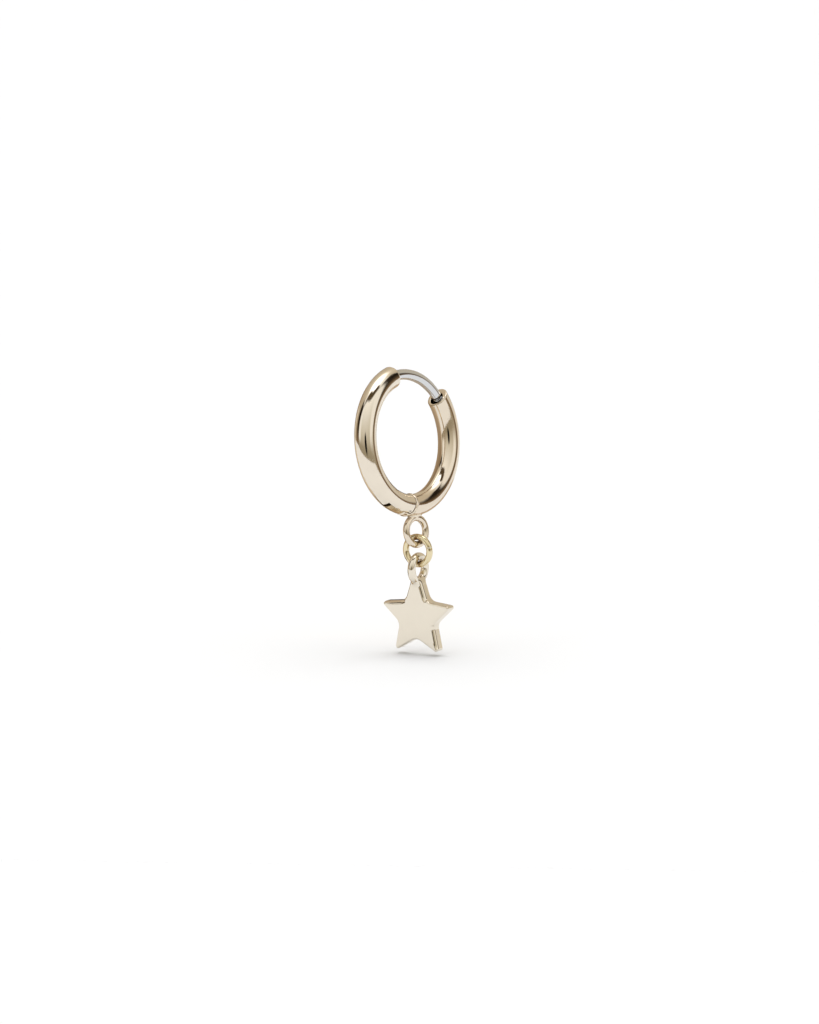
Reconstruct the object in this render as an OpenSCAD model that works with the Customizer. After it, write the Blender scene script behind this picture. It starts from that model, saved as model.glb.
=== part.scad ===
// A hinged tube hoop earring with a thick flat star charm.
// Units are millimetres, Z is up, and X runs along the hoop's plane.
// The origin is on the ear post's middle line, where the earlobe carries the earring.

/* [Hoop] */
// Outside diameter of the hoop
hoop_d = 13.8; // [13.4:0.1:15]
// Diameter of the round tube
tube_d = 2; // [1.96:0.02:2.2]
// How far the hoop leans back from upright, in degrees
hoop_lean = 7.8; // [0:0.1:12]
// Place of the front half's top end, in degrees round from the right
front_end_deg = 100; // [95:0.5:104]
// Place of the seam between the halves, in degrees round from the right
seam_deg = 260; // [255:0.5:262]
// Place of the mouth of the back half, in degrees round from the right
mouth_deg = 33.4; // [28:0.2:38]
// How far the mouth's face is tilted towards the hoop's middle, in degrees
mouth_tilt = 10; // [0:1:12]
// Bevel of the rims of both top ends
rim_bevel = 0.12; // [0.05:0.01:0.2]

/* [Ear post] */
// Place where the earlobe carries the post, in degrees round from the right
ear_deg = 60.5; // [50:0.5:80]
// Diameter of the post
post_d = 0.9; // [0.8:0.05:1]
// Length of the post's foot inside the front half
post_foot = 1.2; // [0.8:0.1:2]
// Length of the post that goes into the mouth
post_tip = 0.6; // [0.4:0.05:0.8]
// Diameter at the bottom of the groove near the tip
groove_d = 0.64; // [0.5:0.02:0.8]
// Width of that groove
groove_w = 0.2; // [0.1:0.05:0.3]

/* [Mouth] */
// Diameter of the bore that takes the post's tip
bore_d = 1.26; // [1.2:0.02:1.4]
// Depth of that bore
bore_depth = 1.5; // [1:0.1:2.5]
// How far the bore sits towards the hoop's middle from the tube's middle
bore_shift = 0.14; // [0:0.02:0.16]

/* [Hinge] */
// Diameter of the hinge pin
pin_d = 0.36; // [0.3:0.02:0.4]
// Length of the hinge pin
pin_len = 1.5; // [1.3:0.05:1.55]
// How far the pin lies outside the tube's middle line
pin_out = 0.42; // [0.4:0.01:0.45]
// How far the pin lies from the seam, on the front half's side
pin_back = 0.62; // [0.6:0.01:0.7]
// Where the seam starts to slope back towards the pin, inside the tube's middle line
slope_start = 0.2; // [0.1:0.05:0.4]
// Width of the knuckle that turns on the pin
knuckle_w = 1; // [0.8:0.05:1.1]
// Diameter of the knuckle
knuckle_d = 1.16; // [1:0.02:1.16]
// Place of the far end of the spring slot, in degrees round from the right
slot_end_deg = 229; // [225:0.5:231]
// Height of the slot's floor above the tube's middle line
slot_floor = 0.62; // [0.55:0.01:0.7]
// Place of the far end of the leaf in the slot, in degrees round from the right
leaf_end_deg = 234; // [232:0.5:240]

/* [Rings] */
// Middle diameter of the fixed ring under the hoop
fixed_ring_d = 2.43; // [2.3:0.01:2.6]
// Wire diameter of the fixed ring
fixed_wire_d = 0.63; // [0.5:0.01:0.65]
// Place of the fixed ring, in degrees round from the right
fixed_ring_deg = 267.5; // [267:0.5:272]
// How far the fixed ring is twisted out of the hoop's plane, in degrees
fixed_ring_twist = 6; // [0:0.5:10]
// How deep the fixed ring is sunk into the tube
fixed_ring_sunk = 0.17; // [0.1:0.01:0.3]
// Middle diameter of the jump ring
jump_ring_d = 2.5; // [2.4:0.01:2.7]
// Wire diameter of the jump ring
jump_wire_d = 0.57; // [0.5:0.01:0.6]
// Width of the cut where the jump ring closes
jump_cut = 0.05; // [0.02:0.01:0.1]
// How far what hangs under the fixed ring is turned about the vertical, in degrees
drop_turn = 6.1; // [0:0.1:15]
// Slack between the fixed ring and the jump ring
ring_slack = 0.085; // [0.05:0.005:0.12]
// Slack between the jump ring and the charm's loop
loop_slack = 0.07; // [0.05:0.01:0.15]

/* [Star charm] */
// Distance from the star's middle to its points before they are rounded
star_reach = 3.85; // [3.7:0.05:4.1]
// The same distance for the top point, which the loop is soldered on
top_reach = 4.7; // [4.5:0.05:4.8]
// Distance from the star's middle to its inner corners before they are rounded
star_waist = 1.82; // [1.7:0.02:1.9]
// Rounding of the points
point_round = 0.18; // [0.08:0.01:0.3]
// Rounding of the top point
top_round = 0.59; // [0.57:0.02:0.59]
// Rounding of the inner corners
corner_round = 0.9; // [0.4:0.05:1]
// Thickness of the star
star_t = 1.1; // [0.8:0.05:1.3]
// Rounding of the edges of both faces
edge_round = 0.2; // [0.05:0.01:0.2]
// Middle diameter of the loop on the top point
loop_d = 2.2; // [2.1:0.05:2.3]
// Wire diameter of that loop
loop_wire_d = 0.72; // [0.5:0.02:0.72]
// Distance from the loop's top wire down to the star's middle
star_drop = 5.515; // [5.4:0.005:5.7]

/* [Hidden] */
$fn = 64;

// Running clearance of the hinge and small gap between pieces
gap = 0.03;
// Reach of a cut past the surface that it opens
past = 0.4;
gold = "#dccdb0";
yellow_gold = "#d9bd84";
steel = "#b8b8b8";

tube_r = tube_d / 2;
hoop_r = hoop_d / 2 - tube_r;
post_r = post_d / 2;
tilt = 90 - hoop_lean;
hoop_mid = -hoop_r * [cos(ear_deg), sin(ear_deg) * cos(tilt), sin(ear_deg) * sin(tilt)];

// Part of a turn that a length takes on the tube's middle line
function turn(length) = length / hoop_r * 180 / PI;

knuckle_r = knuckle_d / 2;
pocket_reach = pin_back + knuckle_r + gap;
// How far the round cheeks stay outside the tube's middle line
cheek_inset = 0.02;
cheek_r = pin_out - cheek_inset;
// How far the slope of the seam is drawn on past both its ends
slope_past = 0.1;
// Distance from the tube's middle line to the shoulders beside the knuckle
shoulder_at = 0.72;
leaf_start_deg = seam_deg - atan((pocket_reach + gap) / (hoop_r + slot_floor));
// How far the spring slot runs into the hinge pocket, in degrees
slot_overrun_deg = 2;
slot_w = knuckle_w + gap;
leaf_w = slot_w - 2 * gap;
// Width of the deeper hole at the slot's far end
slot_hole_w = 0.98;
// Distance from the tube's middle line to that hole's floor
slot_hole_floor = 0.1;

fixed_ring_r = fixed_ring_d / 2;
fixed_wire_r = fixed_wire_d / 2;
fixed_ring_at = hoop_r + tube_r + fixed_ring_r + fixed_wire_r - fixed_ring_sunk;
// Radius of the cone of solder where it meets the tube, and where it meets the ring
solder_base_r = 0.5;
solder_top_r = 0.36;
// How far the solder reaches into the tube, and how far it stands out of it
solder_sunk = 0.2;
solder_out = 0.22;

// Middle of the fixed ring's lowest wire, in the hoop's own plane and then in space
hang_flat = [fixed_ring_at * cos(fixed_ring_deg), fixed_ring_at * sin(fixed_ring_deg) - fixed_ring_r];
hang = hoop_mid + [hang_flat.x, hang_flat.y * cos(tilt), hang_flat.y * sin(tilt)];
jump_ring_r = jump_ring_d / 2;
jump_wire_r = jump_wire_d / 2;
jump_mid = hang + [0, 0, fixed_wire_r + jump_wire_r + ring_slack - jump_ring_r];
jump_foot = jump_mid - [0, 0, jump_ring_r];
// Height of the cut in the jump ring, in degrees above its middle on the front side
jump_cut_deg = 15;
loop_r = loop_d / 2;
loop_wire_r = loop_wire_d / 2;
loop_top = jump_foot + [0, 0, jump_wire_r + loop_wire_r + loop_slack];
loop_mid = loop_top - [0, 0, loop_r];
star_mid = loop_top - [0, 0, star_drop];

points = 5;
step = 360 / points;
// The star's points and inner corners in turn from the top, each with its rounding
star_corners = [
    for (k = [0 : points - 1])
        let (
            a = 90 + step * k,
            b = a + step / 2,
            reach = k == 0 ? top_reach : star_reach,
            round = k == 0 ? top_round : point_round
        )
        each [[reach * [cos(a), sin(a)], round], [star_waist * [cos(b), sin(b)], corner_round]]
];
// Distance from the star's middle to its straight sides
side_length = norm([star_reach - star_waist * cos(step / 2), star_waist * sin(step / 2)]);
side_at = star_reach * star_waist * sin(step / 2) / side_length;
// Straight steps in each rounding of the outline, and in each rounded edge
arc_steps = 6;
edge_steps = 3;

// Points of the arc that rounds the corner at p, between its neighbours a and b
function round_corner(a, p, b, radius) =
    let (
        to_a = (a - p) / norm(a - p),
        to_b = (b - p) / norm(b - p),
        half = acos(to_a * to_b) / 2,
        middle = (to_a + to_b) / norm(to_a + to_b),
        centre = p + middle * radius / sin(half),
        from = p + to_a * radius / tan(half) - centre,
        to = p + to_b * radius / tan(half) - centre,
        side = sign(cross(from, to)),
        sweep = 180 - 2 * half,
        start = atan2(from.y, from.x)
    )
    [for (i = [0 : arc_steps])
        let (c = start + side * sweep * i / arc_steps)
        centre + radius * [cos(c), sin(c)]];

function star_outline() =
    let (count = len(star_corners))
    [for (i = [0 : count - 1])
        each round_corner(
            star_corners[(i + count - 1) % count][0],
            star_corners[i][0],
            star_corners[(i + 1) % count][0],
            star_corners[i][1]
        )
    ];

// Height and size of the outline at one step of the rounded edge. A smaller outline has
// each straight side moved in by the same distance, because all lie about equally far out.
function edge_height(i) = edge_round * sin(90 * i / edge_steps);
function edge_size(i) = 1 - edge_round * (1 - cos(90 * i / edge_steps)) / side_at;

// Stands the hoop's own plane up in space: its x is right, its y up and its z to the front
module in_hoop() {
    translate(hoop_mid) rotate([tilt, 0, 0]) children();
}

// A place on the tube: x points outwards, y on round the hoop and z to the front
module on_tube(deg) {
    rotate([0, 0, deg]) translate([hoop_r, 0, 0]) children();
}

// A round bar bent along the tube's middle line
module bent_bar(from_deg, to_deg, radius) {
    rotate([0, 0, from_deg]) rotate_extrude(angle = to_deg - from_deg)
        translate([hoop_r, 0]) circle(radius);
}

// A straight round bar along the tube, with a rounded far rim
module end_bar(length, radius, round) {
    profile = concat(
        [[0, 0], [radius, 0]],
        [for (a = [0 : 15 : 90]) [radius - round + round * cos(a), length - round + round * sin(a)]],
        [[0, length]]
    );
    rotate([-90, 0, 0]) rotate_extrude() polygon(profile);
}

// What the bevel takes off the rim of a bar that ends here
module rim_cut() {
    rotate([-90, 0, 0]) rotate_extrude()
        polygon([
            [tube_r - rim_bevel, 0],
            [tube_r + past, -rim_bevel - past],
            [tube_r + past, past],
            [tube_r - rim_bevel, past]
        ]);
}

// All past the tilted face of the mouth, with the bevel of its rim
module mouth_cut() {
    on_tube(mouth_deg) rotate([0, 0, mouth_tilt]) {
        rim_cut();
        rotate([-90, 0, 0]) cylinder(h = tube_r, r = tube_r);
    }
}

// A flat outline in the hoop's plane, made into a wall of a given width
module wall(width) {
    linear_extrude(width, center = true) children();
}

// Side view of the knuckle and its neck, drawn at the seam
module knuckle_outline(grow) {
    translate([pin_out, -pin_back]) circle(knuckle_r + grow);
    translate([pin_out - knuckle_r - grow, -pin_back]) square([tube_d, pin_back + past]);
}

// Side view of what the front half leaves free for the back half at the seam: all beyond its
// round cheeks, and beyond a slope from their top to the given level at the start of the slope
module cheek_clearance(radius, level) {
    top = radius - pin_back;
    fall = (level - top) / (pin_out + slope_start);
    difference() {
        polygon([
            [-slope_start - slope_past, level + fall * slope_past],
            [pin_out + slope_past, top - fall * slope_past],
            [pin_out + slope_past, -pin_back],
            [pin_out + tube_d, -pin_back],
            [pin_out + tube_d, past],
            [-slope_start - slope_past, past]
        ]);
        translate([pin_out, -pin_back]) circle(radius);
    }
}

// Hinge pocket, cheek rounding and pin holes, cut from the front half at the seam
module hinge_cuts() {
    wall(knuckle_w + 2 * gap) {
        knuckle_outline(gap);
        translate([pin_out, -pocket_reach]) square([tube_d, pocket_reach]);
    }
    wall(2 * tube_d) {
        cheek_clearance(cheek_r, -gap / 2);
        translate([shoulder_at, -pocket_reach]) square([tube_d, knuckle_r + 2 * gap]);
    }
    translate([pin_out, -pin_back, 0])
        cylinder(h = pin_len + gap, d = pin_d + gap, center = true);
}

// Slot on the underside that holds the leaf, with a deeper hole at its far end
module slot_cuts() {
    rotate([0, 0, slot_end_deg])
        rotate_extrude(angle = leaf_start_deg + slot_overrun_deg - slot_end_deg)
        translate([hoop_r + slot_floor, -slot_w / 2]) square([tube_r, slot_w]);
    rotate([0, 0, slot_end_deg])
        rotate_extrude(angle = leaf_end_deg - slot_end_deg)
        translate([hoop_r + slot_hole_floor, -slot_hole_w / 2]) square([tube_r + past, slot_hole_w]);
}

module front_half() {
    color(gold) in_hoop() difference() {
        bent_bar(front_end_deg, seam_deg - turn(gap) / 2, tube_r);
        on_tube(front_end_deg) mirror([0, 1, 0]) rim_cut();
        bent_bar(front_end_deg - turn(past), front_end_deg + turn(post_foot + gap), post_r + gap / 2);
        on_tube(seam_deg) hinge_cuts();
        slot_cuts();
    }
}

module ear_post() {
    neck_deg = mouth_deg + turn(groove_w / 2);
    color(steel) in_hoop() {
        bent_bar(neck_deg, front_end_deg + turn(post_foot), post_r);
        on_tube(neck_deg) rotate([90, 0, 0]) cylinder(h = groove_w, d = groove_d);
        on_tube(neck_deg) translate([0, -groove_w, 0]) mirror([0, 1, 0])
            end_bar(post_tip - groove_w / 2, post_r - gap / 2, post_r / 2);
    }
}

module hinge_leaf() {
    color(gold) in_hoop() rotate([0, 0, leaf_end_deg])
        rotate_extrude(angle = leaf_start_deg - leaf_end_deg)
        intersection() {
            translate([hoop_r, 0]) circle(tube_r);
            translate([hoop_r + slot_floor + gap, -leaf_w / 2]) square([tube_r, leaf_w]);
        }
}

module hinge_pin() {
    color(steel) in_hoop() on_tube(seam_deg) translate([pin_out, -pin_back, 0])
        cylinder(h = pin_len, d = pin_d, center = true);
}

// Side view of all that the back half lacks at the seam beside its knuckle
module hinge_end_outline() {
    difference() {
        translate([-tube_d, -2 * pocket_reach]) square([2 * tube_d, 2 * pocket_reach + gap / 2]);
        cheek_clearance(cheek_r + gap, gap / 2);
    }
}

// All of the back half's bar at the seam that isn't its knuckle, its neck or the lip
// that wraps the front half's cheeks
module hinge_trim() {
    wall(2 * tube_d) difference() {
        hinge_end_outline();
        knuckle_outline(0);
    }
    for (side = [-1, 1])
        translate([0, 0, side * (knuckle_w / 2 + tube_r)]) wall(tube_d) hinge_end_outline();
}

module fixed_ring() {
    rotate([0, 0, fixed_ring_deg]) translate([fixed_ring_at, 0, 0]) rotate([fixed_ring_twist, 0, 0])
        rotate_extrude() translate([fixed_ring_r, 0]) circle(fixed_wire_r);
    rotate([0, 0, fixed_ring_deg]) translate([hoop_r + tube_r - solder_sunk, 0, 0]) rotate([0, 90, 0])
        cylinder(h = solder_sunk + solder_out, r1 = solder_base_r, r2 = solder_top_r);
}

module back_half() {
    color(gold) in_hoop() difference() {
        union() {
            difference() {
                bent_bar(seam_deg - turn(pocket_reach), 360 + mouth_deg + turn(past), tube_r);
                on_tube(seam_deg) hinge_trim();
            }
            fixed_ring();
        }
        mouth_cut();
        on_tube(mouth_deg) translate([-bore_shift, past, 0]) rotate([90, 0, 0])
            cylinder(h = bore_depth + past, d = bore_d);
        on_tube(seam_deg) translate([pin_out, -pin_back, 0])
            cylinder(h = 2 * tube_d, d = pin_d + 2 * gap, center = true);
    }
}

module jump_ring() {
    cut_deg = jump_cut / jump_ring_r * 180 / PI;
    color(yellow_gold) translate(jump_mid) rotate([0, 0, drop_turn - 90]) rotate([90, 0, 0])
        rotate([0, 0, jump_cut_deg + cut_deg / 2]) rotate_extrude(angle = 360 - cut_deg)
        translate([jump_ring_r, 0]) circle(jump_wire_r);
}

// The star's plate, facing along z with its top point along y
module star_plate() {
    flat = star_t - 2 * edge_round;
    linear_extrude(flat, center = true) polygon(star_outline());
    for (side = [0, 1], i = [0 : edge_steps - 1])
        mirror([0, 0, side]) translate([0, 0, flat / 2 + edge_height(i)])
            linear_extrude(edge_height(i + 1) - edge_height(i), scale = edge_size(i + 1) / edge_size(i))
            scale(edge_size(i)) polygon(star_outline());
}

module star_charm() {
    color(gold) {
        translate(star_mid) rotate([0, 0, drop_turn - 90]) rotate([90, 0, 0]) star_plate();
        translate(loop_mid) rotate([0, 0, drop_turn]) rotate([90, 0, 0])
            rotate_extrude() translate([loop_r, 0]) circle(loop_wire_r);
    }
}

front_half();
ear_post();
hinge_leaf();
hinge_pin();
back_half();
jump_ring();
star_charm();
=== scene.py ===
import math
import bpy
import numpy as np
from mathutils import Matrix, Vector


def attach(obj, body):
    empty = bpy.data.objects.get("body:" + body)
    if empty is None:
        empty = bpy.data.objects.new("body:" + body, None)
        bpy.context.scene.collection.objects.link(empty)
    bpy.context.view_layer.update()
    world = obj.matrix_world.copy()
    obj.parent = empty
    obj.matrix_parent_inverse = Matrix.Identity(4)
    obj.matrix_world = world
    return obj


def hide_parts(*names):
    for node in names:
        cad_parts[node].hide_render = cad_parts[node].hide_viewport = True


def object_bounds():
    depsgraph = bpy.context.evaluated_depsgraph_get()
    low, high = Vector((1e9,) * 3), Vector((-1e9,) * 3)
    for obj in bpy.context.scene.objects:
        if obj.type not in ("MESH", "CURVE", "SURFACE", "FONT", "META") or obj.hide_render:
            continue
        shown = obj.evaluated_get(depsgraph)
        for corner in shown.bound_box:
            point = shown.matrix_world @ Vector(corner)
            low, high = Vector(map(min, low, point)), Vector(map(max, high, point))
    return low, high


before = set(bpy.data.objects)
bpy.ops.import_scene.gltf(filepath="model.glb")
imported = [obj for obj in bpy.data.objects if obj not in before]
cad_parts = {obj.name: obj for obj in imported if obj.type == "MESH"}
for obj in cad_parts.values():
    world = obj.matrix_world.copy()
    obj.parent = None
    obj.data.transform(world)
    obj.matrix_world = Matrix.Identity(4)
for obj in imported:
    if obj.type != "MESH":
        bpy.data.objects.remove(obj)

cad_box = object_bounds()

# Sizes in millimetres and degrees, as in the solids
MM = 0.001
HOOP_R = 5.9
TUBE_R = 1.0
TILT = 82.2
FRONT_END = 100.0
SEAM = 260.0
MOUTH = 33.4
MOUTH_TILT = 10.0
GAP = 0.03
POST_R = 0.45
POST_FOOT = 1.2
POST_FOOT_END = FRONT_END + math.degrees(POST_FOOT / HOOP_R)
POST_TIP = 0.6
GROOVE_R = 0.32
GROOVE_W = 0.2
BORE_R = 0.63
BORE_DEPTH = 1.5
BORE_SHIFT = 0.14
PIN_R = 0.18
PIN_LEN = 1.5
PIN_OUT = 0.42
PIN_BACK = 0.62
SLOPE_START = 0.2
KNUCKLE_HALF = 0.5
KNUCKLE_R = 0.58
CHEEK_R = 0.4
SHOULDER = 0.72
POCKET_REACH = PIN_BACK + KNUCKLE_R + GAP
SLOT_FLOOR = 0.62
SLOT_HALF = KNUCKLE_HALF + GAP / 2
SLOT_OVERRUN = 2
SLOT_HOLE_FLOOR = 0.1
LEAF_END = 234.0
LEAF_START = SEAM - math.degrees(math.atan((POCKET_REACH + GAP) / (HOOP_R + SLOT_FLOOR)))
FIXED_RING_R = 1.215
FIXED_WIRE_R = 0.315
FIXED_RING_AT = 267.5
FIXED_RING_TWIST = 6.0
FIXED_RING_SUNK = 0.17
FIXED_RING_OUT = HOOP_R + TUBE_R + FIXED_RING_R + FIXED_WIRE_R - FIXED_RING_SUNK
JUMP_R = 1.25
JUMP_WIRE_R = 0.285
JUMP_CUT_AT = 15.0
DROP_TURN = 6.1
STAR_REACH = 3.85
TOP_REACH = 4.7
STAR_WAIST = 1.82
POINT_ROUND = 0.18
TOP_ROUND = 0.59
CORNER_ROUND = 0.9
STAR_HALF_T = 0.55
LOOP_R = 1.1
LOOP_WIRE_R = 0.36
STAR_DROP = 5.515

# Sizes that differ from the solids, or that they don't have
SLOT_END = 230.6
SLOT_HOLE_HALF = 0.27
LEAF_SUNK = 0.03
JUMP_CUT = 0.02
POST_SWELL = 0.03
PIN_BEVEL = 0.02

# Roundings of edges, fillets of solder, and the thin lip round the back half's end at the seam
EDGE = 0.05
LEAF_EDGE = 0.03
SEAM_EDGE = 0.03
FRONT_RIM = 0.2
MOUTH_RIM = 0.1
SOLDER = 0.2
LOOP_SOLDER = 0.34
LIP_R = 0.15
LIP_PROUD = 0.075

# The front edge is more broadly rounded along three of the star's sides than elsewhere.
# They are given by the bearing of their middle, clockwise from the top point
STAR_EDGE = 0.16
STAR_BROAD_EDGE = 0.38
BROAD_SIDES = (-54, 18, 126)
BROAD_HALF = 20.0
BROAD_FADE = 6.0
# The round front edge takes a little off the star's silhouette, so its sides stand out by this
STAR_STANDS_OUT = 0.03

# Reach of the hinge's shapes past the tube and past the seam
PAST_TUBE = 2
PAST_SEAM = 0.4

# Places in the shared frame, in millimetres
HOOP_MID = np.array([-2.9053, -0.6969, -5.0876])
JUMP_MID = np.array([-3.2656, -1.98175, -15.0321])
STAR_MID = np.array([-3.2656, -1.98175, -21.0821])


def cos_sin(deg):
    return math.cos(math.radians(deg)), math.sin(math.radians(deg))


# Directions of a local frame as the columns of a matrix
def turned_x(deg):
    c, s = cos_sin(deg)
    return np.array([[1, 0, 0], [0, c, -s], [0, s, c]])


def turned_z(deg):
    c, s = cos_sin(deg)
    return np.array([[c, -s, 0], [s, c, 0], [0, 0, 1]])


HOOP_TURN = turned_x(TILT)
PLATE_TURN = turned_z(DROP_TURN - 90) @ turned_x(90)


# Fields: distance to a surface, negative inside. Two fields are joined by the next three
# functions, and k is the radius that rounds the edge between them
def both(a, b, k):
    return np.minimum(np.maximum(a, b), -k) + np.hypot(np.maximum(a + k, 0), np.maximum(b + k, 0))


def either(a, b, k):
    return -both(-a, -b, k)


def less(a, b, k):
    return both(a, -b, k)


def box_2d(x, y, x0, x1, y0, y1):
    qx = np.abs(x - (x0 + x1) / 2) - (x1 - x0) / 2
    qy = np.abs(y - (y0 + y1) / 2) - (y1 - y0) / 2
    return np.hypot(np.maximum(qx, 0), np.maximum(qy, 0)) + np.minimum(np.maximum(qx, qy), 0)


# How far a spot lies outside the tube's middle line at a place on the hoop, and how far on from it
def on_tube(x, y, deg):
    c, s = cos_sin(deg)
    return x * c + y * s - HOOP_R, -x * s + y * c


def bent_bar(x, y, z, radius):
    return np.hypot(np.hypot(x, y) - HOOP_R, z) - radius


def pin_distance(out, on):
    return np.hypot(out - PIN_OUT, on + PIN_BACK)


def knuckle_side(out, on, grow):
    r = KNUCKLE_R + grow
    neck = box_2d(out, on, PIN_OUT - r, PIN_OUT + PAST_TUBE, -PIN_BACK, PAST_SEAM)
    return np.minimum(pin_distance(out, on) - r, neck)


def cheek_clearance(out, on, radius, level):
    fall = (level - radius + PIN_BACK) / (PIN_OUT + SLOPE_START)
    slope = (level - fall * (out + SLOPE_START) - on) / math.hypot(1, fall)
    corner = box_2d(out, on, PIN_OUT, PIN_OUT + PAST_TUBE, -PIN_BACK, PAST_SEAM)
    return np.maximum(np.minimum(slope, corner), radius - pin_distance(out, on))


# The hinge's pocket in the front half, with room for the knuckle and the cheeks
def pocket_field(out, on, z):
    pocket = np.minimum(
        knuckle_side(out, on, GAP),
        box_2d(out, on, PIN_OUT, PIN_OUT + PAST_TUBE, -POCKET_REACH, 0),
    )
    pocket = np.maximum(pocket, np.abs(z) - KNUCKLE_HALF - GAP)
    shoulder_end = -POCKET_REACH + KNUCKLE_R + 2 * GAP
    cheeks = np.minimum(
        cheek_clearance(out, on, CHEEK_R, -GAP / 2),
        box_2d(out, on, SHOULDER, SHOULDER + PAST_TUBE, -POCKET_REACH, shoulder_end),
    )
    return np.minimum(pocket, cheeks)


# The slot for the leaf, with a deeper hole at its far end
def slot_field(x, y, z):
    rho = np.hypot(x, y) - HOOP_R
    from_end = on_tube(x, y, SLOT_END)[1]
    to_hinge = on_tube(x, y, LEAF_START + SLOT_OVERRUN)[1]
    slot = np.maximum(SLOT_FLOOR - rho, np.maximum(-from_end, to_hinge))
    slot = np.maximum(slot, np.abs(z) - SLOT_HALF)
    hole = np.maximum(SLOT_HOLE_FLOOR - rho, np.abs(z) - SLOT_HOLE_HALF)
    hole = np.maximum(hole, np.maximum(-from_end, on_tube(x, y, LEAF_END)[1]))
    return np.minimum(slot, hole)


def front_field(x, y, z):
    d = bent_bar(x, y, z, TUBE_R)
    end_on = on_tube(x, y, FRONT_END)[1]
    foot_on = on_tube(x, y, POST_FOOT_END)[1]
    out, on = on_tube(x, y, SEAM)
    d = both(d, -end_on, FRONT_RIM)
    d = both(d, on + GAP / 2, SEAM_EDGE)
    post_hole = np.maximum(bent_bar(x, y, z, POST_R + GAP / 2), foot_on - GAP)
    d = less(d, post_hole, EDGE)
    pin_hole = np.maximum(pin_distance(out, on) - PIN_R - GAP / 2, np.abs(z) - (PIN_LEN + GAP) / 2)
    d = less(d, pocket_field(out, on, z), EDGE)
    d = np.maximum(d, -pin_hole)
    return less(d, slot_field(x, y, z), EDGE)


def fixed_ring(x, y, z):
    out, on = on_tube(x, y, FIXED_RING_AT)
    c, s = cos_sin(FIXED_RING_TWIST)
    out = out + HOOP_R - FIXED_RING_OUT
    return np.hypot(np.hypot(out, on * c + z * s) - FIXED_RING_R, z * c - on * s) - FIXED_WIRE_R


# The mouth's flat face, tilted a little towards the hoop's middle
def mouth_face(out, on):
    c, s = cos_sin(MOUTH_TILT)
    return on * c - out * s


def back_field(x, y, z):
    d = bent_bar(x, y, z, TUBE_R)
    out, on = on_tube(x, y, SEAM)
    start = on_tube(x, y, SEAM - math.degrees(POCKET_REACH / HOOP_R))[1]
    knuckle = np.maximum(knuckle_side(out, on, 0), np.abs(z) - KNUCKLE_HALF)
    keep = np.minimum(GAP / 2 - on, cheek_clearance(out, on, CHEEK_R + GAP, GAP / 2))
    lip = np.hypot(d + LIP_R - LIP_PROUD, keep + LIP_R) - LIP_R
    d = either(d, lip, LIP_PROUD)
    d = both(d, np.minimum(keep, knuckle), SEAM_EDGE)
    d = np.maximum(d, -start)
    d = either(d, fixed_ring(x, y, z), SOLDER)
    mouth_out, mouth_on = on_tube(x, y, MOUTH)
    d = both(d, mouth_face(mouth_out, mouth_on), MOUTH_RIM)
    bore = np.maximum(np.hypot(mouth_out + BORE_SHIFT, z) - BORE_R, -mouth_on - BORE_DEPTH)
    d = less(d, bore, EDGE)
    return np.maximum(d, PIN_R + GAP - pin_distance(out, on))


def leaf_field(x, y, z):
    d = bent_bar(x, y, z, TUBE_R - LEAF_SUNK)
    d = both(d, SLOT_FLOOR + GAP - np.hypot(x, y) + HOOP_R, LEAF_EDGE)
    d = both(d, np.abs(z) - SLOT_HALF + GAP, LEAF_EDGE)
    ends = np.maximum(-on_tube(x, y, LEAF_END)[1], on_tube(x, y, LEAF_START)[1])
    return both(d, ends, LEAF_EDGE)


# Half the angle between two points of the star. Places on it are given in the frame of one
# point: along it from the star's middle, and across
HALF_STEP = math.radians(36)


def spot(reach, angle):
    return reach * np.array([math.cos(angle), math.sin(angle)])


# Middle of the arc that rounds the corner between two neighbouring points of the star
def hollow_centre(waist, tip_a, tip_b):
    to_a = (tip_a - waist) / np.linalg.norm(tip_a - waist)
    to_b = (tip_b - waist) / np.linalg.norm(tip_b - waist)
    half = math.acos(to_a @ to_b) / 2
    middle = (to_a + to_b) / np.linalg.norm(to_a + to_b)
    return waist + middle * CORNER_ROUND / math.sin(half)


CORNER = spot(STAR_WAIST, HALF_STEP)
HOLLOW = hollow_centre(CORNER, spot(STAR_REACH, 0), spot(STAR_REACH, 2 * HALF_STEP))
TOP_HOLLOW = hollow_centre(CORNER, spot(TOP_REACH, 0), spot(STAR_REACH, 2 * HALF_STEP))
BESIDE_TOP_HOLLOW = hollow_centre(CORNER, spot(STAR_REACH, 0), spot(TOP_REACH, 2 * HALF_STEP))


# Signed distance to the side of half a point, from its tip to the inner corner beside it
def half_point(u, v, reach, tip_round, hollow):
    half = math.atan2(CORNER[1], reach - CORNER[0])
    c, s = math.cos(half), math.sin(half)
    d = (u - reach) * s + v * c
    t = u * c - v * s
    tip_at = reach - tip_round / s
    d = np.where(t > tip_at * c, np.hypot(u - tip_at, v) - tip_round, d)
    at_hollow = t < hollow[0] * c - hollow[1] * s
    return np.where(at_hollow, CORNER_ROUND - np.hypot(u - hollow[0], v - hollow[1]), d)


def star_side(x, y):
    angle = np.arctan2(x, y)
    point = np.round(angle / (2 * HALF_STEP))
    across = np.abs(angle - 2 * HALF_STEP * point)
    rho = np.hypot(x, y)
    u, v = rho * np.cos(across), rho * np.sin(across)
    d = half_point(u, v, STAR_REACH, POINT_ROUND, HOLLOW)
    beside_top = (np.abs(point) == 1) & (np.abs(angle) < 2 * HALF_STEP)
    d = np.where(beside_top, half_point(u, v, STAR_REACH, POINT_ROUND, BESIDE_TOP_HOLLOW), d)
    return np.where(point == 0, half_point(u, v, TOP_REACH, TOP_ROUND, TOP_HOLLOW), d)


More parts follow.
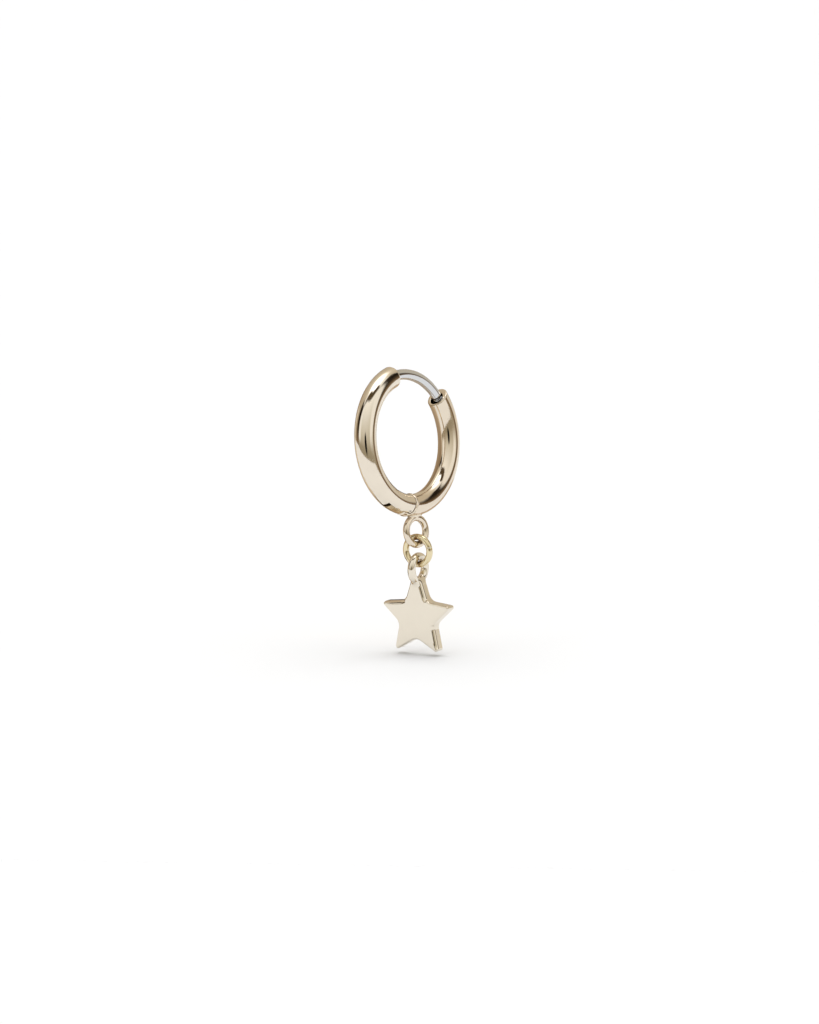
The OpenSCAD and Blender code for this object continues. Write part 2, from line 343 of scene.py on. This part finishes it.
def front_edge(x, y):
    angle = np.degrees(np.arctan2(x, y))
    from_side = np.min([np.abs(angle - middle) for middle in BROAD_SIDES], axis=0)
    share = np.clip((BROAD_HALF - from_side) / BROAD_FADE, 0, 1)
    return STAR_EDGE + (STAR_BROAD_EDGE - STAR_EDGE) * share * share * (3 - 2 * share)


def star_field(x, y, z):
    side = star_side(x, y) - STAR_STANDS_OUT
    d = both(both(side, z - STAR_HALF_T, front_edge(x, y)), -z - STAR_HALF_T, STAR_EDGE)
    loop = np.hypot(np.hypot(y - STAR_DROP + LOOP_R, z) - LOOP_R, x) - LOOP_WIRE_R
    return either(d, loop, LOOP_SOLDER)


# Surfaces of the fields
SLOPE_REACH = 1e-4
LEAST_SLOPE_SQUARE = 0.25
SETTLE_ROUNDS = 2
RELAX_ROUNDS = 3
RELAX_SHARE = 0.5


def field_slope(field, p):
    slope = np.empty_like(p)
    for axis in range(3):
        step = np.zeros(3)
        step[axis] = SLOPE_REACH
        ahead, behind = p + step, p - step
        slope[:, axis] = (field(*ahead.T) - field(*behind.T)) / (2 * SLOPE_REACH)
    return slope


def settle(field, p):
    """Moves points along the field's slope until they lie where it is zero."""
    for _ in range(SETTLE_ROUNDS):
        slope = field_slope(field, p)
        p = p - slope * (field(*p.T) / np.maximum((slope ** 2).sum(1), LEAST_SLOPE_SQUARE))[:, None]
    return p


def first_net(d):
    """A point in each cell that the surface passes, in steps, and a quad round each crossing."""
    shape = np.array(d.shape)
    cells = np.prod(shape - 1)
    sums, hits = np.zeros((3, cells)), np.zeros(cells)
    rings = []
    for axis in range(3):
        lower = np.moveaxis(d, axis, 0)[:-1]
        upper = np.moveaxis(d, axis, 0)[1:]
        i, j, k = np.nonzero((lower < 0) != (upper < 0))
        from_d, to_d = lower[i, j, k], upper[i, j, k]
        others = [a for a in range(3) if a != axis]
        at = np.empty((3, len(i)))
        at[axis], at[others[0]], at[others[1]] = i, j, k
        exact = at.copy()
        exact[axis] += from_d / (from_d - to_d)
        first, second = (axis + 1) % 3, (axis + 2) % 3
        around = []
        for back_1, back_2 in ((1, 1), (0, 1), (0, 0), (1, 0)):
            cell = at.astype(int)
            cell[first] -= back_1
            cell[second] -= back_2
            flat = np.ravel_multi_index(cell, shape - 1)
            for a in range(3):
                sums[a] += np.bincount(flat, exact[a], cells)
            hits += np.bincount(flat, minlength=cells)
            around.append(flat)
        quad = np.stack(around, 1)
        rings.append(np.where((from_d < 0)[:, None], quad, quad[:, ::-1]))
    used = np.nonzero(hits)[0]
    number = np.full(cells, -1)
    number[used] = np.arange(len(used))
    return (sums[:, used] / hits[used]).T, number[np.concatenate(rings)]


def skin(field, low, high, step):
    """Vertices, quads and normals of the surface where the field is zero."""
    axes = [np.arange(a, b + step, step) for a, b in zip(low, high)]
    points, quads = first_net(field(*np.meshgrid(*axes, indexing="ij")))
    p = points * step + np.array(low)
    edges = np.concatenate([quads[:, [a, (a + 1) % 4]] for a in range(4)])
    neighbours = np.bincount(edges[:, 0], minlength=len(p))[:, None]
    p = settle(field, p)
    for _ in range(RELAX_ROUNDS):
        near = np.stack([np.bincount(edges[:, 0], p[edges[:, 1], a], len(p)) for a in range(3)], 1)
        p = settle(field, (1 - RELAX_SHARE) * p + RELAX_SHARE * near / neighbours)
    normals = field_slope(field, p)
    normals /= np.linalg.norm(normals, axis=1)[:, None]
    return p, quads, normals


def new_piece(name, points, faces, place, turn, material, normals=None):
    mesh = bpy.data.meshes.new(name)
    world = (points @ turn.T + place) * MM
    mesh.from_pydata(world.tolist(), [], faces)
    mesh.update()
    mesh.shade_smooth()
    if normals is not None:
        mesh.normals_split_custom_set_from_vertices((normals @ turn.T).tolist())
    mesh.materials.append(material)
    piece = bpy.data.objects.new(name, mesh)
    bpy.context.scene.collection.objects.link(piece)
    return piece


def field_piece(name, field, box, step, place, turn, material):
    points, quads, normals = skin(field, *box, step)
    return new_piece(name, points, quads.tolist(), place, turn, material, normals)


def loft(middles, tangents, up, radii, sides):
    """Round rings along a path, as points and faces. up is square to the path."""
    across = np.cross(tangents, up)
    angle = np.linspace(0, 2 * math.pi, sides, endpoint=False)
    c, s = np.cos(angle), np.sin(angle)
    radii = np.asarray(radii)[:, None, None]
    rings = middles[:, None] + radii * (c[:, None] * across[:, None] + s[:, None] * up)
    last = (len(middles) - 1) * sides
    faces = []
    for here in range(0, last, sides):
        ahead = here + sides
        for j in range(sides):
            n = (j + 1) % sides
            faces.append([here + j, here + n, ahead + n, ahead + j])
    faces.append(list(range(sides - 1, -1, -1)))
    faces.append([last + j for j in range(sides)])
    return rings.reshape(-1, 3), faces


# Node trees
class Tree:
    """Adds nodes to a tree. Inputs are numbers, colours or other nodes' outputs."""

    def __init__(self, node_tree):
        self.nodes = node_tree.nodes
        self.links = node_tree.links

    def plug(self, value, socket):
        if hasattr(value, "is_output"):
            self.links.new(value, socket)
        else:
            socket.default_value = value

    def add(self, kind, inputs, **settings):
        node = self.nodes.new(kind)
        for name, value in settings.items():
            setattr(node, name, value)
        for name, value in inputs.items():
            self.plug(value, node.inputs[name])
        return node

    def math(self, operation, *values):
        inputs = dict(enumerate(values))
        return self.add("ShaderNodeMath", inputs, operation=operation).outputs[0]

    def plus(self, a, b):
        return self.math("ADD", a, b)

    def minus(self, a, b):
        return self.math("SUBTRACT", a, b)

    def times(self, a, b):
        return self.math("MULTIPLY", a, b)

    def over(self, a, b):
        return self.math("DIVIDE", a, b)

    def most(self, a, b):
        return self.math("MAXIMUM", a, b)

    def soft(self, value, start, end, low=0.0, high=1.0):
        """A smooth step from low at start to high at end."""
        inputs = {"Value": value, "From Min": start, "From Max": end, "To Min": low, "To Max": high}
        return self.add("ShaderNodeMapRange", inputs, interpolation_type="SMOOTHSTEP").outputs[0]

    def mix(self, factor, a, b):
        node = self.add("ShaderNodeMix", {0: factor}, data_type="RGBA")
        self.plug(a, node.inputs["A"])
        self.plug(b, node.inputs["B"])
        return node.outputs["Result"]

    def ramp(self, value, stops):
        """A colour that changes with a value. Each stop is a value and its colour."""
        low, high = stops[0][0], stops[-1][0]
        inputs = {"Value": value, "From Min": low, "From Max": high}
        place = self.add("ShaderNodeMapRange", inputs).outputs[0]
        node = self.add("ShaderNodeValToRGB", {"Fac": place})
        elements = node.color_ramp.elements
        while len(elements) < len(stops):
            elements.new(0.5)
        for element, (at, colour) in zip(elements, stops):
            element.position = (at - low) / (high - low)
            element.color = (*colour, 1)
        return node.outputs["Color"]

    def noise(self, place, scale, detail):
        inputs = {"Vector": place, "Scale": scale, "Detail": detail}
        return self.add("ShaderNodeTexNoise", inputs).outputs["Fac"]

    def place(self):
        """The X, Y and Z of the object itself, in metres."""
        place = self.add("ShaderNodeTexCoord", {}).outputs["Object"]
        return self.add("ShaderNodeSeparateXYZ", {"Vector": place}).outputs


# Materials, with lengths in millimetres. A pattern is its scale for each millimetre, its
# detail, and the two levels of it that a soft edge runs between
MOTTLE = (0.9, 4.0, 0.35, 0.65)
PALER = 1.02
SMUDGE = (0.45, 3.0, 0.45, 0.75)
SMUDGE_ROUGH = 0.05
GRAIN = (14.0, 2.0, 0.3, 0.7)
GRAIN_ROUGH = 0.02
# The next four set the painted shade that darkens corners and places near other parts, partly as
# residue
CORNER_REACH = 0.6
CORNER_SAMPLES = 8
CORNER_LIGHT = (0.85, 0.15)
CORNER_SHADE_AND_RESIDUE = 0.9
SCRATCH = (1.6, 1.0, 0.62, 0.72)
SCRATCH_TURNS = ((0.3, 0.5, 0.1), (1.4, 0.2, 0.9), (0.6, 1.7, 2.2))
SCRATCH_STRETCH = (0.35, 9.0, 9.0)
SCRATCH_DEPTH = 0.0004
WAVE_SCALE = 0.8
WAVE_DETAIL = 1.0


def pattern(tree, place, kind, high=1.0):
    scale, detail, start, end = kind
    return tree.soft(tree.noise(place, scale, detail), start, end, 0.0, high)


def plating_colour(tree, mm, tint, corner_shade_and_residue):
    """Mottled plating, darkened by painted shade in its corners, where parts meet and near the
    floor, partly standing for residue.
    """
    mottle = pattern(tree, mm, MOTTLE)
    paler = tuple(min(1.0, c * PALER) for c in tint)
    plating = tree.mix(mottle, (*tint, 1), (*paler, 1))
    # Painted shade: the occlusion node darkens the colour in corners, where parts meet and near the
    # floor
    inputs = {"Distance": CORNER_REACH * MM}
    corner = tree.add("ShaderNodeAmbientOcclusion", inputs, samples=CORNER_SAMPLES)
    shade_and_residue_share = tree.soft(corner.outputs["AO"], *CORNER_LIGHT, 0.0, CORNER_SHADE_AND_RESIDUE)
    return tree.mix(shade_and_residue_share, plating, (*corner_shade_and_residue, 1))


def worn_roughness(tree, mm, rough):
    smudge = pattern(tree, mm, SMUDGE, SMUDGE_ROUGH)
    grain = pattern(tree, mm, GRAIN, GRAIN_ROUGH)
    return tree.plus(tree.plus(smudge, grain), rough)


def polished_relief(tree, mm, wave):
    """Fine polishing scratches in three directions, over a very slight wave of the surface."""
    scratches = []
    for turn in SCRATCH_TURNS:
        inputs = {"Vector": mm, "Rotation": turn, "Scale": SCRATCH_STRETCH}
        stretched = tree.add("ShaderNodeMapping", inputs).outputs[0]
        scratches.append(pattern(tree, stretched, SCRATCH))
    height = tree.most(tree.most(scratches[0], scratches[1]), scratches[2])
    inputs = {"Height": height, "Distance": SCRATCH_DEPTH * MM, "Strength": 1.0}
    scratched = tree.add("ShaderNodeBump", inputs, invert=True).outputs[0]
    inputs = {
        "Height": tree.noise(mm, WAVE_SCALE, WAVE_DETAIL),
        "Distance": wave * MM,
        "Strength": 1.0,
        "Normal": scratched,
    }
    return tree.add("ShaderNodeBump", inputs).outputs[0]


def polished(name, tint, rough, corner_shade_and_residue, wave):
    material = bpy.data.materials.new(name)
    material.use_nodes = True
    tree = Tree(material.node_tree)
    sockets = material.node_tree.nodes["Principled BSDF"].inputs
    sockets["Metallic"].default_value = 1.0
    coord = tree.add("ShaderNodeTexCoord", {}).outputs["Object"]
    mm = tree.add("ShaderNodeVectorMath", {0: coord, "Scale": 1 / MM}, operation="SCALE").outputs[0]
    tree.plug(plating_colour(tree, mm, tint, corner_shade_and_residue), sockets["Base Color"])
    tree.plug(worn_roughness(tree, mm, rough), sockets["Roughness"])
    tree.plug(polished_relief(tree, mm, wave), sockets["Normal"])
    return material


# Each has its tint, roughness, colour of the painted shade and residue in the corners, and height
# of the wave
front_gold = polished("front_gold", (0.785, 0.71, 0.60), 0.05, (0.20, 0.12, 0.06), 0.004)
back_gold = polished("back_gold", (0.76, 0.67, 0.55), 0.05, (0.20, 0.12, 0.06), 0.004)
# The leaf's tint is darker and browner than the halves' gold: painted shade of the hoop's
# underside, partly residue in the slot
leaf_gold_shaded = polished("leaf_gold_shaded", (0.60, 0.46, 0.27), 0.16, (0.14, 0.08, 0.03), 0.004)
charm_gold = polished("charm_gold", (0.79, 0.725, 0.615), 0.07, (0.24, 0.15, 0.08), 0.004)
yellow_gold = polished("yellow_gold", (0.77, 0.67, 0.45), 0.09, (0.24, 0.13, 0.04), 0.003)
post_steel = polished("post_steel", (0.65, 0.66, 0.67), 0.05, (0.05, 0.05, 0.05), 0.002)

# The halves, the leaf and the star, each in a box of its own frame that holds it
STEP = 0.05
LEAF_STEP = 0.04
FRONT_BOX = ((-7.1, -7.1, -1.15), (0.9, 7.1, 1.15))
BACK_BOX = ((-3.1, -10.1, -1.15), (7.1, 4.3, 1.15))
LEAF_BOX = ((-4.9, -7.1, -1.0), (-1.0, -4.5, 1.0))
STAR_BOX = ((-4.0, -3.7, -1.6), (4.0, 6.1, 1.6))
front = field_piece("hoop_front", front_field, FRONT_BOX, STEP, HOOP_MID, HOOP_TURN, front_gold)
back = field_piece("hoop_back", back_field, BACK_BOX, STEP, HOOP_MID, HOOP_TURN, back_gold)
leaf = field_piece("leaf", leaf_field, LEAF_BOX, LEAF_STEP, HOOP_MID, HOOP_TURN, leaf_gold_shaded)
star = field_piece("star", star_field, STAR_BOX, STEP, STAR_MID, PLATE_TURN, charm_gold)

# The post: its foot in the front half, the bend through the ear, the groove and the tip
NECK = MOUTH + math.degrees(GROOVE_W / 2 / HOOP_R)
TIP_ROUND_SHARE = 0.5
TIP_STEPS = 9
GROOVE_BEVEL = 0.03
GROOVE_FILLET = 0.02
BEND_FROM = NECK + 0.3
BEND_STEPS = 140
POST_SIDES = 64
ALONG_Z = np.array([0, 0, 1.0])


def tube_point(deg, on, inside):
    c, s = cos_sin(deg)
    return [(HOOP_R - inside) * c - on * s, (HOOP_R - inside) * s + on * c, 0], [-s, c, 0]


def post_path():
    """Middles, directions and radii of the post from its tip to its foot."""
    tip = POST_TIP + GROOVE_W / 2
    tip_r = POST_R - GAP / 2
    round_r = tip_r * TIP_ROUND_SHARE
    rows = []
    for a in np.linspace(0, 90, TIP_STEPS):
        c, s = cos_sin(a)
        rows.append((NECK, -tip + round_r - round_r * c, tip_r - round_r + round_r * s))
    rows += [
        (NECK, -GROOVE_W - GROOVE_BEVEL, tip_r),
        (NECK, -GROOVE_W, tip_r - GROOVE_BEVEL),
        (NECK, -GROOVE_W + GROOVE_FILLET / 2, GROOVE_R + GROOVE_FILLET),
        (NECK, -GROOVE_W + GROOVE_BEVEL, GROOVE_R),
        (NECK, -GROOVE_BEVEL, GROOVE_R),
        (NECK, -GROOVE_FILLET / 2, GROOVE_R + GROOVE_FILLET),
        (NECK, 0, POST_R - GROOVE_BEVEL),
    ]
    for deg in np.linspace(BEND_FROM, POST_FOOT_END, BEND_STEPS):
        middle = math.sin(math.pi * min((deg - NECK) / (FRONT_END - NECK), 1))
        rows.append((deg, 0, POST_R + POST_SWELL * middle))
    # Where the radius changes along the bend, the post's outer side stays in place
    spots = [tube_point(deg, on, r - POST_R if on == 0 else 0) for deg, on, r in rows]
    return np.array([s[0] for s in spots]), np.array([s[1] for s in spots]), [r for _, _, r in rows]


middles, tangents, radii = post_path()
points, faces = loft(middles, tangents, ALONG_Z, radii, POST_SIDES)
post = new_piece("post", points, faces, HOOP_MID, HOOP_TURN, post_steel)

# The hinge pin, bevelled at its ends
PIN_SIDES = 48
out_dir = np.array([*cos_sin(SEAM), 0])
on_dir = np.array([-out_dir[1], out_dir[0], 0])
pin_at = HOOP_R * out_dir + PIN_OUT * out_dir - PIN_BACK * on_dir
pin_end, pin_rim = PIN_LEN / 2, PIN_LEN / 2 - PIN_BEVEL
middles = pin_at + np.array([-pin_end, -pin_rim, pin_rim, pin_end])[:, None] * ALONG_Z
radii = [PIN_R - PIN_BEVEL, PIN_R, PIN_R, PIN_R - PIN_BEVEL]
points, faces = loft(middles, np.tile(ALONG_Z, (4, 1)), np.array([1.0, 0, 0]), radii, PIN_SIDES)
pin = new_piece("pin", points, faces, HOOP_MID, HOOP_TURN, post_steel)

# The jump ring, cut where it closes. Its first steps, in degrees, round the edges of the cut
RING_EDGE = np.array([0, 0.4, 1.2])
RING_EDGE_ROUND = (0.015, 0.004)
RING_FROM = 3
RING_STEPS = 150
RING_SIDES = 48
half_cut = math.degrees(JUMP_CUT / 2 / JUMP_R)
whole = 360 - 2 * half_cut
bend = np.linspace(RING_FROM, whole - RING_FROM, RING_STEPS)
degs = np.concatenate([RING_EDGE, bend, whole - RING_EDGE[::-1]])
degs = degs + JUMP_CUT_AT + half_cut
radii = np.full(len(degs), JUMP_WIRE_R)
for i, rounding in enumerate(RING_EDGE_ROUND):
    radii[[i, -1 - i]] -= rounding
c, s = np.cos(np.radians(degs)), np.sin(np.radians(degs))
middles = np.stack([JUMP_R * c, JUMP_R * s, 0 * c], 1)
tangents = np.stack([-s, c, 0 * c], 1)
points, faces = loft(middles, tangents, ALONG_Z, radii, RING_SIDES)
jump = new_piece("jump", points, faces, JUMP_MID, PLATE_TURN, yellow_gold)

for piece, node, body, slot in (
    (front, "front_half", "front", "pale_gold"),
    (post, "ear_post", "front", "post_steel"),
    (leaf, "hinge_leaf", "front", "pale_gold"),
    (pin, "hinge_pin", "front", "post_steel"),
    (back, "back_half", "back", "pale_gold"),
    (jump, "jump_ring", "ring", "yellow_gold"),
    (star, "star_charm", "charm", "charm_gold"),
):
    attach(piece, body)
    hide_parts(node)

# Floor, in metres and degrees. The table ends in front of the earring and beside it, and the
# studio's white runs on from there
FLOOR_WHITE = (0.605, 0.636, 0.697)
FLOOR_ROUGH = 0.9
FLOOR_BELOW = 0.0005
FLOOR_FRONT = 0.094
FLOOR_LEFT = 0.28
FLOOR_RIGHT = 0.26
FLOOR_BEHIND = 6.0
FLOOR_FACES = 210.0
floor_z = cad_box[0][2] - FLOOR_BELOW


def sheet(name, corners):
    mesh = bpy.data.meshes.new(name)
    mesh.from_pydata(corners, [], [range(len(corners))])
    piece = bpy.data.objects.new(name, mesh)
    bpy.context.scene.collection.objects.link(piece)
    return piece


forward = Vector((*cos_sin(FLOOR_FACES), 0))
sideways = Vector((-forward.y, forward.x, 0))
under = Vector((HOOP_MID[0] * MM, HOOP_MID[1] * MM, floor_z))
floor = sheet("floor", [
    under + forward * FLOOR_FRONT - sideways * FLOOR_LEFT,
    under + forward * FLOOR_FRONT + sideways * FLOOR_RIGHT,
    under - forward * FLOOR_BEHIND + sideways * FLOOR_RIGHT,
    under - forward * FLOOR_BEHIND - sideways * FLOOR_LEFT,
])
floor_white = bpy.data.materials.new("floor_white")
floor_white.use_nodes = True
floor_sockets = floor_white.node_tree.nodes["Principled BSDF"].inputs
floor_sockets["Base Color"].default_value = (*FLOOR_WHITE, 1)
floor_sockets["Roughness"].default_value = FLOOR_ROUGH
floor.data.materials.append(floor_white)

# Two glowing brown sheets that light nothing and only reflections show, as painted reflections: one
# stands behind the earring, and one lies on the floor, where it paints the floor's shadow into
# reflections. Places are in metres, and CARD_SHADES gives the standing sheet's colour by height,
# darkest at its foot
CARD_FOOT = (0.05, 0.04, 0.025)
CARD_LOW = (0.60, 0.49, 0.37)
CARD_HIGH = (0.33, 0.24, 0.15)
CARD_LEFT = (0.80, 0.71, 0.58)
CARD_SHADES = ((-0.019, CARD_FOOT), (-0.0178, CARD_LOW), (-0.0135, CARD_LOW), (-0.003, CARD_HIGH))
CARD_LEFT_FADE = (-0.0045, -0.0095)
CARD_BEHIND = 0.008
CARD_SIDES = (-0.0105, 0.0085)
CARD_ENDS = (-0.021, 0.0012)
FLAT_ABOVE_FLOOR = 0.0001
FLAT_SIDES = (-0.002, 0.06)
FLAT_NEAR = (0.002, -0.01)
FLAT_FAR = 0.06


# A sheet that glows only for reflections and lights nothing: a painted reflection
def reflection_glow_sheet(name, corners, shade):
    glow = bpy.data.materials.new(name)
    glow.use_nodes = True
    tree = Tree(glow.node_tree)
    light = tree.add("ShaderNodeEmission", {"Color": shade(tree)}).outputs[0]
    tree.links.new(light, glow.node_tree.nodes["Material Output"].inputs["Surface"])
    piece = sheet(name, corners)
    piece.data.materials.append(glow)
    piece.visible_camera = False
    piece.visible_diffuse = False
    piece.visible_shadow = False
    piece.visible_transmission = False


def upright_reflection_colour(tree):
    place = tree.place()
    shade = tree.ramp(place["Z"], CARD_SHADES)
    return tree.mix(tree.soft(place["X"], *CARD_LEFT_FADE), shade, (*CARD_LEFT, 1))


def floor_shadow_reflection_colour(tree):
    return (*CARD_LOW, 1)


left, right = CARD_SIDES
foot, top = CARD_ENDS
reflection_glow_sheet("painted_reflection_upright", [
    (left, CARD_BEHIND, foot),
    (right, CARD_BEHIND, foot),
    (right, CARD_BEHIND, top),
    (left, CARD_BEHIND, top),
], upright_reflection_colour)
# The flat sheet paints the floor's shadow behind the earring into reflections only
flat_z = floor_z + FLAT_ABOVE_FLOOR
left, right = FLAT_SIDES
near_left, near_right = FLAT_NEAR
reflection_glow_sheet("painted_floor_shadow_flat", [
    (left, near_left, flat_z),
    (right, near_right, flat_z),
    (right, FLAT_FAR, flat_z),
    (left, FLAT_FAR, flat_z),
], floor_shadow_reflection_colour)

# Studio: what stands round the object, by direction. Angles are in degrees, and the bearing
# is 0 on the camera's side. A pair of numbers says where a soft edge starts and ends
CAMERA_SIDE = 215.0
ROOM = (
    (-12.0, (0.36, 0.31, 0.22)),
    (0.0, (0.40, 0.35, 0.255)),
    (8.0, (0.58, 0.53, 0.42)),
    (20.0, (0.75, 0.71, 0.61)),
    (40.0, (0.94, 0.92, 0.86)),
    (60.0, (1.12, 1.10, 1.04)),
)
PANEL_WHITE = (1.05, 1.03, 0.98)
PANEL_RIGHT = (45.0, 64.0)
PANEL_LEFT = (-41.0, -53.0)
PANEL_FOOT = (0.0, 12.0)
LENS_BLACK = (0.0, 0.0, 0.0)
LENS_BEARING = 4.5
LENS_HEIGHT = 7.0
LENS_HALF_WIDE = 10.0
LENS_HALF_HIGH = 13.0
LENS_EDGE = (1.3, 0.7)
SURROUND_MID = 8.0
SURROUND_LEFT = 85.0
SURROUND_RIGHT = 91.0
SURROUND_SIDES = (-0.5, 0.5)
SURROUND_TOP = 68.0
SURROUND_FALL = 7.0
SURROUND_FOOT = (0.0, 20.0)
SURROUND_POWER = 4.5
OUTSIDE_EDGE = (1.05, 1.17)
OUTSIDE_SIDES = (-0.7, 0.7)
OUTSIDE_LEFT = (
    (0.0, (0.42, 0.33, 0.23)),
    (15.0, (0.50, 0.41, 0.30)),
    (45.0, (0.64, 0.56, 0.44)),
    (60.0, (0.80, 0.73, 0.60)),
)
OUTSIDE_RIGHT = (
    (0.0, (0.86, 0.82, 0.75)),
    (12.0, (0.67, 0.60, 0.48)),
    (45.0, (0.66, 0.58, 0.45)),
    (60.0, (0.80, 0.73, 0.60)),
)
STRIP_BROWN = (0.07, 0.055, 0.035)
STRIP_TOP = (10.0, 6.0)
STRIP_BEHIND = (-0.90, -0.96)
LAMPS_WHITE = (2.6, 2.6, 2.6)
LAMPS_EDGE = (58.0, 78.0)
FRAME = (
    (0.0, (0.24, 0.165, 0.10)),
    (12.0, (0.076, 0.052, 0.030)),
    (28.0, (0.014, 0.010, 0.006)),
    (45.0, (0.030, 0.021, 0.012)),
    (65.0, (0.095, 0.066, 0.034)),
)
FRAME_INSIDE = (0.86, 0.95)
FRAME_END_LEFT = 1.30
FRAME_END_RIGHT = 1.18
FRAME_END_SIDES = (-0.8, 0.2)
FRAME_END_FADE = (0.0, -0.1)
OPEN_LEFT = (-64.0, -76.0)
OPEN_LEFT_FOOT = (44.0, 53.0)
OPEN_RIGHT = (68.0, 76.0)
OPEN_RIGHT_FOOT = (46.0, 54.0)
SEEN_WHITE = (1.02, 1.02, 1.02)

world = bpy.data.worlds.new("studio")
bpy.context.scene.world = world
world.use_nodes = True
sky = Tree(world.node_tree)
direction = sky.add("ShaderNodeTexCoord", {}).outputs["Generated"]
inputs = {"Vector": direction, "Angle": -math.radians(CAMERA_SIDE)}
turned = sky.add("ShaderNodeVectorRotate", inputs, rotation_type="Z_AXIS").outputs[0]
parts = sky.add("ShaderNodeSeparateXYZ", {"Vector": turned}).outputs
bearing = sky.math("DEGREES", sky.math("ARCTAN2", parts["Y"], parts["X"]))
height = sky.math("DEGREES", sky.math("ARCSINE", parts["Z"]))

# The room between the table and the lamps, darker and browner low down, with a white panel
# at each side
panels = sky.most(sky.soft(bearing, *PANEL_RIGHT), sky.soft(bearing, *PANEL_LEFT))
panels = sky.times(panels, sky.soft(height, *PANEL_FOOT))
colour = sky.mix(panels, sky.ramp(height, ROOM), (*PANEL_WHITE, 1))

# The dark lens near the middle of the camera's side
across = sky.over(sky.minus(bearing, LENS_BEARING), LENS_HALF_WIDE)
along = sky.over(sky.minus(height, LENS_HEIGHT), LENS_HALF_HIGH)
lens = sky.math("SQRT", sky.plus(sky.times(across, across), sky.times(along, along)))
colour = sky.mix(sky.soft(lens, *LENS_EDGE), colour, (*LENS_BLACK, 1))

# Place across the dark frame round that side: 1 on its line, less inside and more outside
from_mid = sky.math("ABSOLUTE", sky.minus(bearing, SURROUND_MID))
half_wide = sky.soft(parts["Y"], *SURROUND_SIDES, SURROUND_LEFT, SURROUND_RIGHT)
side = sky.math("POWER", sky.over(from_mid, half_wide), SURROUND_POWER)
fallen = sky.plus(height, sky.times(parts["Y"], SURROUND_FALL))
fallen = sky.times(fallen, sky.soft(height, *SURROUND_FOOT))
above = sky.math("POWER", sky.over(sky.most(fallen, 0.0), SURROUND_TOP), SURROUND_POWER)
frame_at = sky.math("POWER", sky.plus(side, above), 1 / SURROUND_POWER)

# The dim room beyond the frame, with a dark strip low down behind the earring
outside_left, outside_right = sky.ramp(height, OUTSIDE_LEFT), sky.ramp(height, OUTSIDE_RIGHT)
outside = sky.mix(sky.soft(parts["Y"], *OUTSIDE_SIDES), outside_left, outside_right)
strip = sky.times(sky.soft(height, *STRIP_TOP), sky.soft(parts["X"], *STRIP_BEHIND))
outside = sky.mix(strip, outside, (*STRIP_BROWN, 1))
colour = sky.mix(sky.soft(frame_at, *OUTSIDE_EDGE), colour, outside)

# The lamps overhead
colour = sky.mix(sky.soft(height, *LAMPS_EDGE), colour, (*LAMPS_WHITE, 1))

# The frame itself, open at its upper corners
frame_end = sky.soft(parts["Y"], *FRAME_END_SIDES, FRAME_END_LEFT, FRAME_END_RIGHT)
dark = sky.soft(frame_at, *FRAME_INSIDE)
dark = sky.times(dark, sky.soft(sky.minus(frame_at, frame_end), *FRAME_END_FADE))
open_left = sky.times(sky.soft(bearing, *OPEN_LEFT), sky.soft(height, *OPEN_LEFT_FOOT))
open_right = sky.times(sky.soft(bearing, *OPEN_RIGHT), sky.soft(height, *OPEN_RIGHT_FOOT))
dark = sky.times(dark, sky.minus(1.0, sky.most(open_left, open_right)))
colour = sky.mix(dark, colour, sky.ramp(height, FRAME))

# White where the world itself is seen, as a backdrop
seen = sky.add("ShaderNodeLightPath", {}).outputs["Is Camera Ray"]
colour = sky.mix(seen, colour, (*SEEN_WHITE, 1))
sky.plug(colour, world.node_tree.nodes["Background"].inputs["Color"])

# A wide soft lamp over the floor, which shows in no reflection
LAMP_ENERGY = 2.6
LAMP_COLOUR = (1.0, 0.952, 0.87)
LAMP_ANGLE = 90.0
LAMP_TILT = 6.0
LAMP_FROM = 38.0
lamp = bpy.data.objects.new("lamp", bpy.data.lights.new("lamp", "SUN"))
lamp.data.energy = LAMP_ENERGY
lamp.data.color = LAMP_COLOUR
lamp.data.angle = math.radians(LAMP_ANGLE)
lamp.rotation_euler = (0, math.radians(LAMP_TILT), math.radians(LAMP_FROM))
lamp.visible_glossy = False
bpy.context.scene.collection.objects.link(lamp)

# Camera, at the photograph's angle and frame. HOOP_PIXEL is where the hoop's middle shows
PHOTO_WIDTH = 819
PHOTO_HEIGHT = 1024
HOOP_PIXEL = (407.37, 439.63)
PIXELS_PER_MM = 11.12
DISTANCE = 710.0
SENSOR_HEIGHT = 36.0
UP = (0.1341, 0.0870, 0.987)
BACK = (-0.7695, -0.6184, 0.159)
CLIP_START = 0.01
CLIP_END = 50
back_dir = np.array(BACK) / np.linalg.norm(BACK)
right_dir = np.cross(UP, back_dir)
right_dir /= np.linalg.norm(right_dir)
up_dir = np.cross(back_dir, right_dir)
aim = HOOP_MID - right_dir * (HOOP_PIXEL[0] - PHOTO_WIDTH / 2) / PIXELS_PER_MM
aim = aim + up_dir * (HOOP_PIXEL[1] - PHOTO_HEIGHT / 2) / PIXELS_PER_MM
eye = aim + back_dir * DISTANCE
camera = bpy.data.objects.new("camera", bpy.data.cameras.new("camera"))
bpy.context.scene.collection.objects.link(camera)
camera_turn = Matrix(np.stack([right_dir, up_dir, back_dir], 1).tolist()).to_4x4()
camera.matrix_world = Matrix.Translation(Vector(eye * MM)) @ camera_turn
camera.data.sensor_fit = "VERTICAL"
camera.data.sensor_height = SENSOR_HEIGHT
camera.data.lens = PIXELS_PER_MM * DISTANCE * SENSOR_HEIGHT / PHOTO_HEIGHT
camera.data.clip_start = CLIP_START
camera.data.clip_end = CLIP_END
bpy.context.scene.camera = camera
bpy.context.scene.view_settings.view_transform = "Standard"
